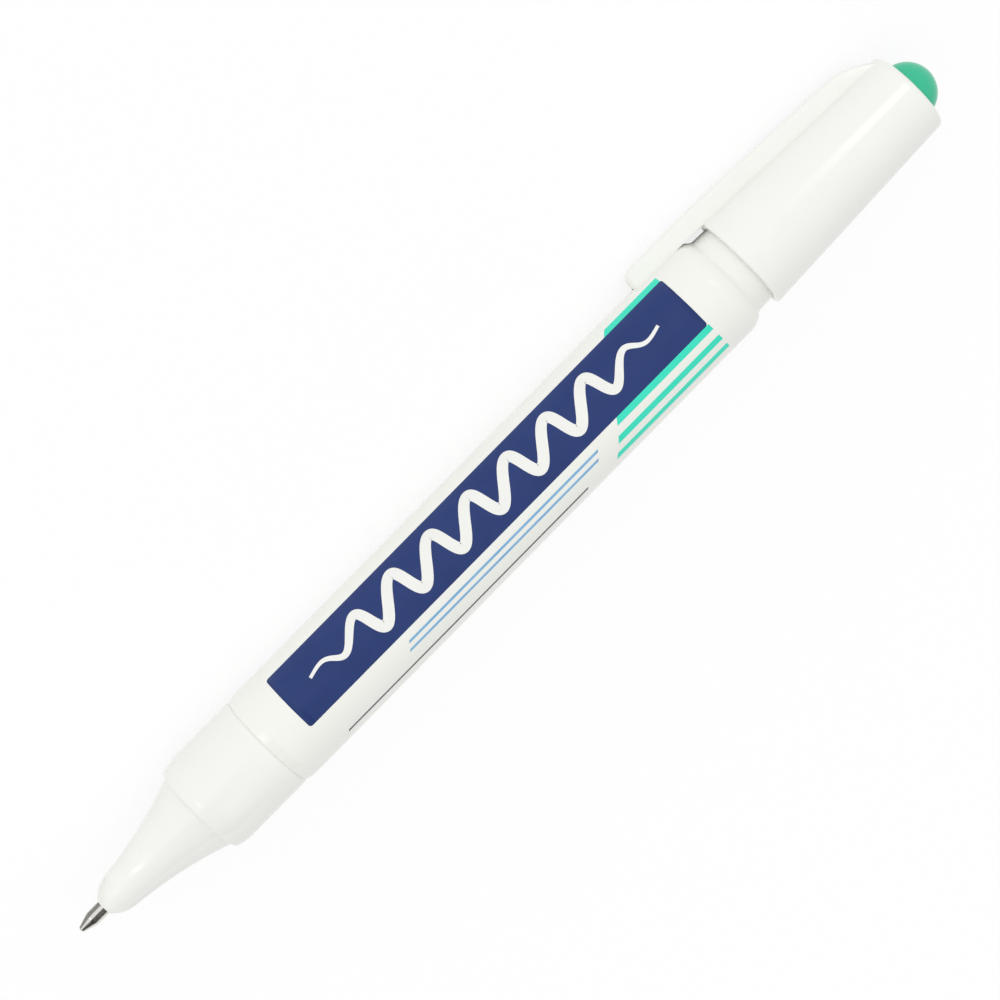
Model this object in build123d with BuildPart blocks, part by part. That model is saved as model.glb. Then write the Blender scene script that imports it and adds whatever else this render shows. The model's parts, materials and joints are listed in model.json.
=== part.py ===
from build123d import *
import os
from math import acos, asin, atan2, cos, degrees, hypot, pi, radians, sin, sqrt, tan

# A ball-tipped correction pen, lying on a table with its cap pushed on the tail.
# Lengths are in millimetres. X runs along the pen towards the writing tip, Z is up.
# The origin is on the axis, at the rear end of the nose collar's round wall.

# Clearances
press_gap = 0.02
slip_gap = 0.06
overrun = 1.0

# Barrel: a closed tube, its tail drawn down to a neck that takes the cap
barrel_radius = 7.0
barrel_length = 78.55
barrel_wall = 0.9
barrel_edge = 0.15
shoulder_round = 1.6
shoulder_hollow = 0.8
neck_shown = 2.1
neck_hidden = 7.6
neck_wall = 1.1
neck_end_wall = 1.2
neck_edge = 0.5

# How far the cap's seats, on the neck and at the foot of the nose cone, stand in from the barrel
post_step = 1.15

# Nose section: collar, hollow cone and the plug that snaps into the barrel
collar_step = 0.17
collar_length = 11.65
collar_chamfer = 0.2
collar_crown_length = 2.4
collar_crown_drop = 0.45
cone_length = 16.75
waist_radius = 2.85
waist_from_front = 4.35
waist_angle = 6.8
front_round_length = 2.85
front_lip = 0.25
plug_length = 9.0
plug_wall = 1.1
plug_lead = 0.4
bead_height = 0.15
bead_width = 0.9
bead_from_seam = 5.0
tip_seat_length = 5.65
chamber_radius = 1.7
chamber_length = 6.7
funnel_length = 4.6

# Writing tip: turned metal point with a ball seat
tip_radius = 1.0
tip_shown = 4.15
tip_cone_length = 1.8
tip_lip_wall = 0.06
ball_radius = 0.4
ball_gap = 0.02
lip_opening_share = 0.88
ball_room = 0.22
channel_radius = 0.34
tip_flange_radius = 1.45
tip_flange_length = 0.8

# Push rod that keeps the ball against its lip
rod_radius = 0.2
rod_flange_radius = 1.15
rod_flange_length = 0.6
rod_flange_gap = 0.4
rod_tail_radius = 0.5
rod_tail_length = 2.4
rod_tail_edge = 0.12

# Valve spring
wire_radius = 0.13
coil_radius = 0.95
coil_quarters = 26

# Spring stop: plug with flow holes
stop_radius = 2.6
stop_length = 3.0
stop_edge = 0.25
stop_centre_hole_radius = 0.45
stop_flow_hole_radius = 0.5
stop_flow_circle = 1.75
stop_flow_holes = 4

# Mixing ball, loose in the barrel
mixing_ball_radius = 2.5
mixing_ball_from_seam = 46.0

# Cap
cap_length = 30.0
cap_wall = 0.97
cap_narrowing = 1.12
cap_end_wall = 1.6
cap_end_round = 0.7
cap_mouth_edge = 0.2
cap_mouth_lead = 0.25

# Inner cap, which seals round the nose when the pen is capped
inner_cap_depth = 12.5
inner_cap_straight = 1.6
nose_seal_gap = 0.1
tip_hole_gap = 0.3
tip_hole_lead = 0.25

# Seal pad that meets the ball
pad_radius = 2.0
pad_length = 1.5

# Coloured end plug
dome_rim = 1.92
dome_sink = 0.56
dome_recess = 0.3
stem_radius = 1.9

# Pocket clip
clip_gap = 0.15
clip_thickness = 2.0
clip_reach = 11.5
clip_end_round = 1.4
clip_bend_before_mouth = 1.9
clip_bend_length = 6.0
clip_slope = 3.0
clip_closing_length = 6.0
clip_fall_before_root = 2.6
clip_root_length = 3.4
clip_root_from_end = 1.0
clip_root_lip = 0.15
clip_root_gap = 0.05
clip_end_width = 4.4
clip_root_width = 4.8
clip_edge = 0.5
clip_outward_share = 0.5
clip_beside_share = 0.3
clip_deep_share = 0.5

# Places along the axis, from the nose collar
seam_x = -collar_chamfer
step_x = collar_length
nose_front_x = step_x + cone_length
tip_x = nose_front_x + tip_shown
ball_x = tip_x - ball_radius
shoulder_x = seam_x - barrel_length

# Radii that fit one another
bore_radius = barrel_radius - barrel_wall
collar_radius = barrel_radius - collar_step
plug_radius = bore_radius - press_gap
post_radius = barrel_radius - post_step
cap_bore_radius = post_radius + slip_gap
cap_mouth_radius = cap_bore_radius + cap_wall
cap_end_radius = cap_mouth_radius - cap_narrowing
cap_taper = cap_narrowing / cap_length

# The neck tapers with the cap's bore, and a double curve joins it to the barrel
neck_start_radius = post_radius + cap_taper * neck_shown
shoulder_bend = acos(1 - (barrel_radius - neck_start_radius) / (shoulder_round + shoulder_hollow))
shoulder_turn_x = shoulder_x - shoulder_round * sin(shoulder_bend)
shoulder_turn_radius = barrel_radius - shoulder_round * (1 - cos(shoulder_bend))
neck_x = shoulder_turn_x - shoulder_hollow * sin(shoulder_bend)
mouth_x = neck_x - neck_shown
neck_end_x = mouth_x - neck_hidden
neck_end_radius = post_radius - cap_taper * neck_hidden
neck_bore_radius = neck_end_radius - neck_wall
neck_bore_x = shoulder_x - barrel_wall
cap_end_x = mouth_x - cap_length

os.makedirs("parts", exist_ok=True)

# Barrel
with BuildPart() as barrel:
    with BuildSketch(Plane.XY):
        with BuildLine():
            Polyline(
                (neck_end_x, 0),
                (neck_end_x, neck_end_radius - neck_edge),
                (neck_end_x + neck_edge, neck_end_radius),
                (neck_x, neck_start_radius),
            )
            TangentArc(
                (shoulder_x, barrel_radius),
                (shoulder_turn_x, shoulder_turn_radius),
                tangent=(-1, 0),
            )
            TangentArc(
                (neck_x, neck_start_radius),
                (shoulder_turn_x, shoulder_turn_radius),
                tangent=(1, 0),
            )
            Line((shoulder_x, barrel_radius), (seam_x - barrel_edge, barrel_radius))
            TangentArc(
                (seam_x - barrel_edge, barrel_radius),
                (seam_x, barrel_radius - barrel_edge),
                tangent=(1, 0),
            )
            Polyline(
                (seam_x, barrel_radius - barrel_edge),
                (seam_x, bore_radius),
                (seam_x - bead_from_seam + bead_width, bore_radius),
                (seam_x - bead_from_seam, bore_radius + bead_height),
                (seam_x - bead_from_seam - bead_width, bore_radius),
                (neck_bore_x + bore_radius - neck_bore_radius, bore_radius),
                (neck_bore_x, neck_bore_radius),
                (neck_end_x + neck_end_wall, neck_bore_radius),
                (neck_end_x + neck_end_wall, 0),
                (neck_end_x, 0),
            )
        make_face()
    revolve(axis=Axis.X)
barrel.part.label = "barrel"
export_step(barrel.part, "parts/barrel.step")

# Nose section
collar_back_radius = collar_radius - collar_chamfer
waist_x = nose_front_x - waist_from_front
front_round_x = nose_front_x - front_round_length
front_round_radius = waist_radius - (front_round_x - waist_x) * tan(radians(waist_angle))
front_radius = tip_radius + front_lip
plug_end_x = seam_x - plug_length
plug_bore_radius = plug_radius - plug_wall
tip_bore_radius = tip_radius + press_gap
chamber_front_x = nose_front_x - tip_seat_length
stop_front_x = chamber_front_x - chamber_length
stop_back_x = stop_front_x - stop_length
stop_bore_radius = stop_radius + press_gap

with BuildPart() as nose_section:
    with BuildSketch(Plane.XY):
        with BuildLine():
            Line((nose_front_x, tip_bore_radius), (nose_front_x, front_radius))
            TangentArc(
                (front_round_x, front_round_radius),
                (nose_front_x, front_radius),
                tangent=(cos(radians(waist_angle)), -sin(radians(waist_angle))),
            )
            Line((front_round_x, front_round_radius), (waist_x, waist_radius))
            TangentArc(
                (waist_x, waist_radius),
                (step_x, post_radius),
                tangent=(-cos(radians(waist_angle)), sin(radians(waist_angle))),
            )
            Line((step_x, post_radius), (step_x, collar_radius - collar_crown_drop))
            TangentArc(
                (step_x - collar_crown_length, collar_radius),
                (step_x, collar_radius - collar_crown_drop),
                tangent=(1, 0),
            )
            Polyline(
                (step_x - collar_crown_length, collar_radius),
                (0, collar_radius),
                (seam_x, collar_back_radius),
                (seam_x, plug_radius),
                (seam_x - bead_from_seam + bead_width, plug_radius),
                (seam_x - bead_from_seam, plug_radius + bead_height),
                (seam_x - bead_from_seam - bead_width, plug_radius),
                (plug_end_x + plug_lead, plug_radius),
                (plug_end_x, plug_radius - plug_lead),
                (plug_end_x, plug_bore_radius),
                (stop_back_x - funnel_length, plug_bore_radius),
                (stop_back_x, stop_bore_radius),
                (stop_front_x, stop_bore_radius),
                (stop_front_x, chamber_radius),
                (chamber_front_x, chamber_radius),
                (chamber_front_x, tip_bore_radius),
                (nose_front_x, tip_bore_radius),
            )
        make_face()
    revolve(axis=Axis.X)
nose_section.part.label = "nose_section"
export_step(nose_section.part, "parts/nose_section.step")

# Writing tip
socket_radius = ball_radius + ball_gap
lip_opening_radius = lip_opening_share * ball_radius
lip_x = ball_x + sqrt(socket_radius**2 - lip_opening_radius**2)
lip_outer_radius = lip_opening_radius + tip_lip_wall
socket_end_x = ball_x - ball_radius - ball_room
tip_back_x = chamber_front_x - tip_flange_length
socket_mid_angle = atan2(lip_opening_radius, lip_x - ball_x) / 2 + pi / 4

with BuildPart() as writing_tip:
    with BuildSketch(Plane.XY):
        with BuildLine():
            ThreePointArc(
                (ball_x, socket_radius),
                (
                    ball_x + socket_radius * cos(socket_mid_angle),
                    socket_radius * sin(socket_mid_angle),
                ),
                (lip_x, lip_opening_radius),
            )
            Polyline(
                (lip_x, lip_opening_radius),
                (lip_x, lip_outer_radius),
                (lip_x - tip_cone_length, tip_radius),
                (chamber_front_x, tip_radius),
                (chamber_front_x, tip_flange_radius),
                (tip_back_x, tip_flange_radius),
                (tip_back_x, channel_radius),
                (socket_end_x, channel_radius),
                (socket_end_x, socket_radius),
                (ball_x, socket_radius),
            )
        make_face()
    revolve(axis=Axis.X)
writing_tip.part.label = "writing_tip"
export_step(writing_tip.part, "parts/writing_tip.step")

# Tip ball
with BuildPart() as tip_ball:
    with Locations((ball_x, 0, 0)):
        Sphere(ball_radius)
tip_ball.part.label = "tip_ball"
export_step(tip_ball.part, "parts/tip_ball.step")

# Push rod
rod_front_x = ball_x - ball_radius - ball_gap
rod_flange_x = tip_back_x - rod_flange_gap
rod_seat_x = rod_flange_x - rod_flange_length
rod_end_x = rod_seat_x - rod_tail_length

with BuildPart() as push_rod:
    with BuildSketch(Plane.XY):
        with BuildLine():
            Polyline(
                (rod_front_x, 0),
                (rod_front_x, rod_radius),
                (rod_flange_x, rod_radius),
                (rod_flange_x, rod_flange_radius),
                (rod_seat_x, rod_flange_radius),
                (rod_seat_x, rod_tail_radius),
                (rod_end_x + rod_tail_edge, rod_tail_radius),
                (rod_end_x, rod_tail_radius - rod_tail_edge),
                (rod_end_x, 0),
                (rod_front_x, 0),
            )
        make_face()
    revolve(axis=Axis.X)
push_rod.part.label = "push_rod"
export_step(push_rod.part, "parts/push_rod.step")

# Valve spring: each quarter turn is two arcs that share the coil's own direction
coil_front_x = rod_seat_x - wire_radius - press_gap
coil_back_x = stop_front_x + wire_radius + press_gap
coil_advance = (coil_back_x - coil_front_x) / coil_quarters


def coil_point(quarter):
    angle = quarter * pi / 2
    return Vector(coil_front_x + quarter * coil_advance, coil_radius * cos(angle), coil_radius * sin(angle))


def coil_direction(quarter):
    angle = quarter * pi / 2
    around = coil_radius * pi / 2
    return Vector(coil_advance, -around * sin(angle), around * cos(angle)).normalized()


with BuildPart() as valve_spring:
    with BuildLine() as coil_line:
        for quarter in range(coil_quarters):
            start = coil_point(quarter)
            end = coil_point(quarter + 1)
            start_way = coil_direction(quarter)
            end_way = coil_direction(quarter + 1)
            chord = end - start
            both_ways = start_way + end_way
            spread = 2 * (1 - start_way.dot(end_way))
            lean = chord.dot(both_ways)
            reach = (sqrt(lean**2 + spread * chord.dot(chord)) - lean) / spread
            middle = (start + end + (start_way - end_way) * reach) * 0.5
            middle_way = chord - both_ways * reach
            TangentArc(start, middle, tangent=start_way)
            TangentArc(middle, end, tangent=middle_way)
    with BuildSketch(Plane(origin=coil_line.line @ 0, z_dir=coil_line.line % 0)):
        Circle(wire_radius)
    sweep(path=coil_line.line)
valve_spring.part.label = "valve_spring"
export_step(valve_spring.part, "parts/valve_spring.step")

# Spring stop
with BuildPart() as spring_stop:
    with BuildSketch(Plane.YZ.offset(stop_back_x)):
        Circle(stop_radius)
        Circle(stop_centre_hole_radius, mode=Mode.SUBTRACT)
        with PolarLocations(stop_flow_circle, stop_flow_holes):
            Circle(stop_flow_hole_radius, mode=Mode.SUBTRACT)
    extrude(amount=stop_length)
    stop_rims = spring_stop.edges().filter_by(GeomType.CIRCLE).sort_by(SortBy.RADIUS)[-2:]
    chamfer(stop_rims, stop_edge)
spring_stop.part.label = "spring_stop"
export_step(spring_stop.part, "parts/spring_stop.step")

# Mixing ball, resting on the bottom of the bore
with BuildPart() as mixing_ball:
    with Locations((seam_x - mixing_ball_from_seam, 0, mixing_ball_radius + slip_gap - bore_radius)):
        Sphere(mixing_ball_radius)
mixing_ball.part.label = "mixing_ball"
export_step(mixing_ball.part, "parts/mixing_ball.step")

# Cap shell
cap_inner_end_x = cap_end_x + cap_end_wall
cap_inner_end_radius = cap_bore_radius - cap_taper * (cap_length - cap_end_wall)
dome_radius = cap_end_radius - dome_rim
dome_base_radius = sqrt(dome_radius**2 - dome_sink**2)
recess_radius = dome_base_radius + press_gap
stem_hole_radius = stem_radius + press_gap

with BuildPart() as cap_shell:
    with BuildSketch(Plane.XY):
        with BuildLine():
            Polyline(
                (mouth_x, cap_bore_radius + cap_mouth_lead),
                (mouth_x, cap_mouth_radius - cap_mouth_edge),
                (mouth_x - cap_mouth_edge, cap_mouth_radius - cap_taper * cap_mouth_edge),
                (cap_end_x + cap_end_round, cap_end_radius + cap_taper * cap_end_round),
            )
            TangentArc(
                (cap_end_x + cap_end_round, cap_end_radius + cap_taper * cap_end_round),
                (cap_end_x, cap_end_radius - cap_end_round),
                tangent=(-1, -cap_taper),
            )
            Polyline(
                (cap_end_x, cap_end_radius - cap_end_round),
                (cap_end_x, recess_radius),
                (cap_end_x + dome_recess, recess_radius),
                (cap_end_x + dome_recess, stem_hole_radius),
                (cap_inner_end_x, stem_hole_radius),
                (cap_inner_end_x, cap_inner_end_radius),
                (mouth_x - cap_mouth_lead, cap_bore_radius - cap_taper * cap_mouth_lead),
                (mouth_x, cap_bore_radius + cap_mouth_lead),
            )
        make_face()
    revolve(axis=Axis.X)
cap_shell.part.label = "cap_shell"
export_step(cap_shell.part, "parts/cap_shell.step")

# Inner cap
inner_mouth_x = mouth_x - inner_cap_depth
inner_mouth_outer = cap_bore_radius - cap_taper * inner_cap_depth - press_gap
inner_end_outer = cap_inner_end_radius - press_gap
seal_bore_radius = waist_radius + nose_seal_gap
nose_floor_x = mouth_x - cone_length - nose_seal_gap
tip_hole_radius = tip_radius + tip_hole_gap
pad_front_x = mouth_x - cone_length - tip_shown
pad_pocket_radius = pad_radius + press_gap

with BuildPart() as inner_cap:
    with BuildSketch(Plane.XY):
        with BuildLine():
            Polyline(
                (inner_mouth_x, seal_bore_radius + tip_hole_lead),
                (inner_mouth_x, inner_mouth_outer),
                (cap_inner_end_x, inner_end_outer),
                (cap_inner_end_x, pad_pocket_radius),
                (pad_front_x, pad_pocket_radius),
                (pad_front_x, tip_hole_radius),
                (nose_floor_x, tip_hole_radius),
                (nose_floor_x, tip_hole_radius + tip_hole_lead),
                (inner_mouth_x - inner_cap_straight, seal_bore_radius),
                (inner_mouth_x - tip_hole_lead, seal_bore_radius),
                (inner_mouth_x, seal_bore_radius + tip_hole_lead),
            )
        make_face()
    revolve(axis=Axis.X)
inner_cap.part.label = "inner_cap"
export_step(inner_cap.part, "parts/inner_cap.step")

# Tip seal
with BuildPart() as tip_seal:
    with BuildSketch(Plane.YZ.offset(pad_front_x - pad_length)):
        Circle(pad_radius)
    extrude(amount=pad_length)
tip_seal.part.label = "tip_seal"
export_step(tip_seal.part, "parts/tip_seal.step")

# End plug
dome_centre_x = cap_end_x + dome_sink
dome_mid_angle = atan2(dome_base_radius, -dome_sink) / 2 + pi / 2

with BuildPart() as end_plug:
    with BuildSketch(Plane.XY):
        with BuildLine():
            ThreePointArc(
                (dome_centre_x - dome_radius, 0),
                (
                    dome_centre_x + dome_radius * cos(dome_mid_angle),
                    dome_radius * sin(dome_mid_angle),
                ),
                (cap_end_x, dome_base_radius),
            )
            Polyline(
                (cap_end_x, dome_base_radius),
                (cap_end_x + dome_recess, dome_base_radius),
                (cap_end_x + dome_recess, stem_radius),
                (pad_front_x - pad_length, stem_radius),
                (pad_front_x - pad_length, 0),
                (dome_centre_x - dome_radius, 0),
            )
        make_face()
    revolve(axis=Axis.X)
end_plug.part.label = "end_plug"
export_step(end_plug.part, "parts/end_plug.step")

# Pocket clip: heights are measured from the axis, in the plane through the clip's middle.
# Its outer face leans behind the bend, and its inner face is hollowed round the barrel and the cap.
clip_inner_radius = max(barrel_radius, cap_mouth_radius) + clip_gap
clip_height = clip_inner_radius + clip_thickness
clip_free_x = mouth_x + clip_reach
clip_bend_x = mouth_x + clip_bend_before_mouth
clip_lean_x = clip_bend_x - clip_bend_length
clip_closed_x = mouth_x - clip_closing_length
clip_root_end_x = cap_end_x + clip_root_from_end
clip_root_x = clip_root_end_x + clip_root_length
clip_fall_x = clip_root_x + clip_fall_before_root
clip_bend_drop = clip_bend_length * tan(radians(clip_slope) / 2)
clip_lean = tan(radians(clip_slope))
clip_fall_drop = clip_bend_drop + (clip_lean_x - clip_fall_x) * clip_lean
clip_closed_radius = cap_mouth_radius - cap_taper * clip_closing_length + clip_gap
clip_root_radius = cap_end_radius + cap_taper * (clip_root_x - cap_end_x)
clip_root_end_height = cap_end_radius + cap_taper * clip_root_from_end + clip_root_gap + clip_root_lip
clip_deep_height = clip_deep_share * cap_end_radius

# The pen comes to rest on its barrel and on the clip's rounded edge
clip_rest_share = (clip_free_x - clip_bend_x) / (clip_free_x - clip_root_end_x)
clip_rest_half_width = (clip_end_width + (clip_root_width - clip_end_width) * clip_rest_share) / 2
edge_out = clip_height - clip_edge
edge_aside = clip_rest_half_width - clip_edge
edge_drop_angle = asin((barrel_radius - clip_edge) / hypot(edge_out, edge_aside))
clip_rest_angle = edge_drop_angle - atan2(edge_aside, edge_out)
clip_way = Vector(0, -cos(clip_rest_angle), -sin(clip_rest_angle))
clip_side_plane = Plane(origin=(0, 0, 0), x_dir=(1, 0, 0), z_dir=Vector(1, 0, 0).cross(clip_way))
clip_plan_plane = Plane(origin=(0, 0, 0), x_dir=(1, 0, 0), z_dir=clip_way)

with BuildPart() as pocket_clip:
    with BuildSketch(clip_side_plane):
        with BuildLine():
            TangentArc(
                (clip_free_x, clip_height - clip_end_round),
                (clip_free_x - clip_end_round, clip_height),
                tangent=(0, 1),
            )
            Line((clip_free_x - clip_end_round, clip_height), (clip_bend_x, clip_height))
            TangentArc(
                (clip_bend_x, clip_height),
                (clip_lean_x, clip_height - clip_bend_drop),
                tangent=(-1, 0),
            )
            Line(
                (clip_lean_x, clip_height - clip_bend_drop),
                (clip_fall_x, clip_height - clip_fall_drop),
            )
            TangentArc(
                (clip_fall_x, clip_height - clip_fall_drop),
                (clip_root_end_x, clip_root_end_height),
                tangent=(-1, -clip_lean),
            )
            Polyline(
                (clip_root_end_x, clip_root_end_height),
                (clip_root_end_x, clip_deep_height),
                (clip_free_x, clip_deep_height),
                (clip_free_x, clip_height - clip_end_round),
            )
        make_face()
    extrude(amount=clip_root_width / 2, both=True)
    with BuildSketch(clip_plan_plane):
        with BuildLine():
            Polyline(
                (clip_free_x, -clip_end_width / 2),
                (clip_free_x, clip_end_width / 2),
                (clip_root_end_x, clip_root_width / 2),
                (clip_root_end_x, -clip_root_width / 2),
                close=True,
            )
        make_face()
    extrude(amount=clip_height + overrun, mode=Mode.INTERSECT)
    clip_top_faces = pocket_clip.faces().filter_by(
        lambda face: face.normal_at().dot(clip_way) > clip_outward_share
    )
    clip_top_edges = ShapeList(edge for face in clip_top_faces for edge in face.edges())
    clip_long_edges = clip_top_edges.filter_by(
        lambda edge: abs(clip_side_plane.to_local_coords(edge.center()).Z)
        > clip_beside_share * clip_end_width
    )
    fillet(clip_long_edges, clip_edge)
    with BuildSketch(Plane.XY):
        with BuildLine():
            Polyline(
                (clip_free_x + overrun, 0),
                (clip_free_x + overrun, clip_inner_radius),
                (mouth_x, clip_inner_radius),
                (clip_closed_x, clip_closed_radius),
                (clip_root_x, clip_root_radius + clip_gap),
                (clip_root_x, clip_root_radius + clip_root_gap),
                (cap_end_x, cap_end_radius + clip_root_gap),
                (cap_end_x, 0),
                close=True,
            )
        make_face()
    revolve(axis=Axis.X, mode=Mode.SUBTRACT)
pocket_clip.part.label = "pocket_clip"
export_step(pocket_clip.part, "parts/pocket_clip.step")

print("clip rests", round(degrees(clip_rest_angle), 3), "degrees below level")
print("clip hinge x", round(clip_root_end_x, 4), "height", round(clip_root_end_height - clip_root_lip, 4))
print("tip x", round(tip_x, 4), "ball x", round(ball_x, 4), "cap mouth x", round(mouth_x, 4))
print("cap end x", round(cap_end_x, 4), "neck end x", round(neck_end_x, 4))
print("spring back x", round(stop_front_x, 4))
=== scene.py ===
import json
from math import acos, atan2, cos, hypot, pi, radians, sin, sqrt, tan

import bmesh
import bpy
from mathutils import Matrix, Vector


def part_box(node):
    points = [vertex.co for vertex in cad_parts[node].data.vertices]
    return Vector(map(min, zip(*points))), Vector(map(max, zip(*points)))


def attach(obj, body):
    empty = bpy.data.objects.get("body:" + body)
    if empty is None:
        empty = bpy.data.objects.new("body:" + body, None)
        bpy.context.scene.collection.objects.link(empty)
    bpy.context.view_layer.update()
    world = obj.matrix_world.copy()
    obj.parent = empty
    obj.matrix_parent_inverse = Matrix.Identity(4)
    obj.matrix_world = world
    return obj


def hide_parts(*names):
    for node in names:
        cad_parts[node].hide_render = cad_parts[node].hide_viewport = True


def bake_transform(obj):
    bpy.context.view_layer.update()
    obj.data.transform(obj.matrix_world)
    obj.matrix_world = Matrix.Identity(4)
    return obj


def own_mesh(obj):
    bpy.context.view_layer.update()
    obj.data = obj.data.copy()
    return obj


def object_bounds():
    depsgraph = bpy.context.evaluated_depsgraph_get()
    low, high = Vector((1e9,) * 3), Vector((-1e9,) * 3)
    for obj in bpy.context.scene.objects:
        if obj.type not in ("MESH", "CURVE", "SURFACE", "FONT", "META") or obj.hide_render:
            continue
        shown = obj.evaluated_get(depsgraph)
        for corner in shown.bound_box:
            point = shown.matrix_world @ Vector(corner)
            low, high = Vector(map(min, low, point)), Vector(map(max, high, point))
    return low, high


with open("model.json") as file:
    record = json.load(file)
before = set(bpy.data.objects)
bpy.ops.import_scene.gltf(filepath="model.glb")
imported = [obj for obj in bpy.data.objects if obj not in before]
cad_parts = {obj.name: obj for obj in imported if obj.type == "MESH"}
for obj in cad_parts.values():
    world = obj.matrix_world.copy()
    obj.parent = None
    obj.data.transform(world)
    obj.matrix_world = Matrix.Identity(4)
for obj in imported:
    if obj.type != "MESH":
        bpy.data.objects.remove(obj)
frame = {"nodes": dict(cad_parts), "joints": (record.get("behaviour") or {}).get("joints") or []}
cad_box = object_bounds()

# Barrel
# The squeezable tube that holds the fluid: white polypropylene, moulded in one piece and left glossy.
# Its tail steps down over a soft shoulder to a neck. Its open front leans in a little towards the seam
# and takes the nose's plug.

MM = 0.001

barrel_low, barrel_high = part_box("barrel")
cap_low, cap_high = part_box("cap_shell")
barrel_radius = barrel_high.y
seam_x = barrel_high.x
tail_x = barrel_low.x
mouth_x = cap_high.x
cap_end_x = cap_low.x

barrel_wall = 0.9 * MM
barrel_edge = 0.15 * MM
barrel_lead_length = 1.0 * MM
barrel_lead_slope = tan(radians(12.6))
barrel_lead_bend = 0.25 * MM
shoulder_round = 3.2 * MM
shoulder_hollow = 0.8 * MM
neck_shown = 2.1 * MM
neck_edge = 0.5 * MM
neck_wall = 1.1 * MM
neck_end_wall = 1.2 * MM
post_step = 1.15 * MM
cap_narrowing = 1.12 * MM
bead_height = 0.15 * MM
bead_width = 0.9 * MM
bead_from_seam = 5.0 * MM

bore_radius = barrel_radius - barrel_wall
post_radius = barrel_radius - post_step
cap_taper = cap_narrowing / (mouth_x - cap_end_x)
neck_x = mouth_x + neck_shown
neck_start_radius = post_radius + cap_taper * neck_shown
neck_end_radius = post_radius - cap_taper * (mouth_x - tail_x)
neck_bore_radius = neck_end_radius - neck_wall
shoulder_bend = acos(1 - (barrel_radius - neck_start_radius) / (shoulder_round + shoulder_hollow))
shoulder_turn_x = neck_x + shoulder_hollow * sin(shoulder_bend)
shoulder_turn_radius = neck_start_radius + shoulder_hollow * (1 - cos(shoulder_bend))
shoulder_x = shoulder_turn_x + shoulder_round * sin(shoulder_bend)
neck_bore_x = shoulder_x - barrel_wall
barrel_lead_end = (seam_x - barrel_edge, barrel_radius - barrel_lead_slope * barrel_lead_length)
barrel_bend_end = (
    barrel_lead_end[0] - barrel_lead_length + barrel_lead_bend,
    barrel_radius - barrel_lead_slope * barrel_lead_bend,
)
barrel_bend_x = barrel_lead_end[0] - barrel_lead_length - barrel_lead_bend


def arc(start, end, way, steps=10):
    """The points after start of the arc that leaves it along way and ends at end."""
    chord_x = end[0] - start[0]
    chord_y = end[1] - start[1]
    turn = 2 * atan2(way[0] * chord_y - way[1] * chord_x, way[0] * chord_x + way[1] * chord_y)
    radius = hypot(chord_x, chord_y) / (2 * sin(turn / 2))
    reach = radius / hypot(*way)
    centre_x = start[0] - way[1] * reach
    centre_y = start[1] + way[0] * reach
    from_centre = atan2(start[1] - centre_y, start[0] - centre_x)
    bend = turn / steps
    size = abs(radius)
    return [
        (centre_x + size * cos(from_centre + bend * k), centre_y + size * sin(from_centre + bend * k))
        for k in range(1, steps + 1)
    ]


def finished(name, form, sharp_angle=40):
    """A smooth-shaded piece from a bmesh, with its true corners kept sharp."""
    bmesh.ops.recalc_face_normals(form, faces=form.faces)
    mesh = bpy.data.meshes.new(name)
    form.to_mesh(mesh)
    form.free()
    mesh.shade_smooth()
    mesh.set_sharp_from_angle(angle=radians(sharp_angle))
    piece = bpy.data.objects.new(name, mesh)
    bpy.context.scene.collection.objects.link(piece)
    return piece


def held(outline, margin=0.05 * MM, long_run=0.5 * MM):
    """An outline with points added near the ends of its long runs, which keeps their shading straight."""
    points = [outline[0]]
    for (x, radius), (far_x, far_radius) in zip(outline, outline[1:]):
        along = far_x - x
        rise = far_radius - radius
        run = hypot(along, rise)
        if run > long_run:
            ends = (margin / run, 1 - margin / run)
            points += [(x + along * share, radius + rise * share) for share in ends]
        points.append((far_x, far_radius))
    return points


def turned(name, outline, sides=224):
    """A piece turned about the pen's axis from an outline of (x, radius) points."""
    form = bmesh.new()
    rings = []
    for x, radius in held(outline):
        if radius > 0:
            turns = [2 * pi * k / sides for k in range(sides)]
            rings.append([form.verts.new((x, radius * cos(t), radius * sin(t))) for t in turns])
        else:
            rings.append([form.verts.new((x, 0, 0))] * sides)
    if outline[0][1] > 0:
        rings.append(rings[0])
    for near, far in zip(rings, rings[1:]):
        for k in range(sides):
            corners = [near[k - 1], near[k], far[k], far[k - 1]]
            form.faces.new(dict.fromkeys(corners))
    return finished(name, form)


barrel_outline = [
    (tail_x, 0),
    (tail_x, neck_end_radius - neck_edge),
    *arc((tail_x, neck_end_radius - neck_edge), (tail_x + neck_edge, neck_end_radius), (0, 1)),
    (neck_x, neck_start_radius),
    *arc((neck_x, neck_start_radius), (shoulder_turn_x, shoulder_turn_radius), (1, 0)),
    *reversed(arc((shoulder_x, barrel_radius), (shoulder_turn_x, shoulder_turn_radius), (-1, 0))[:-1]),
    (shoulder_x, barrel_radius),
    (barrel_bend_x, barrel_radius),
    *arc((barrel_bend_x, barrel_radius), barrel_bend_end, (1, 0), steps=6),
    barrel_lead_end,
    *arc(barrel_lead_end, (seam_x, barrel_lead_end[1] - barrel_edge), (1, -barrel_lead_slope), steps=5),
    (seam_x, bore_radius),
    (seam_x - bead_from_seam + bead_width, bore_radius),
    (seam_x - bead_from_seam, bore_radius + bead_height),
    (seam_x - bead_from_seam - bead_width, bore_radius),
    (neck_bore_x + bore_radius - neck_bore_radius, bore_radius),
    (neck_bore_x, neck_bore_radius),
    (tail_x + neck_end_wall, neck_bore_radius),
    (tail_x + neck_end_wall, 0),
]
barrel_tube = turned("barrel_tube", barrel_outline)


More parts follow.
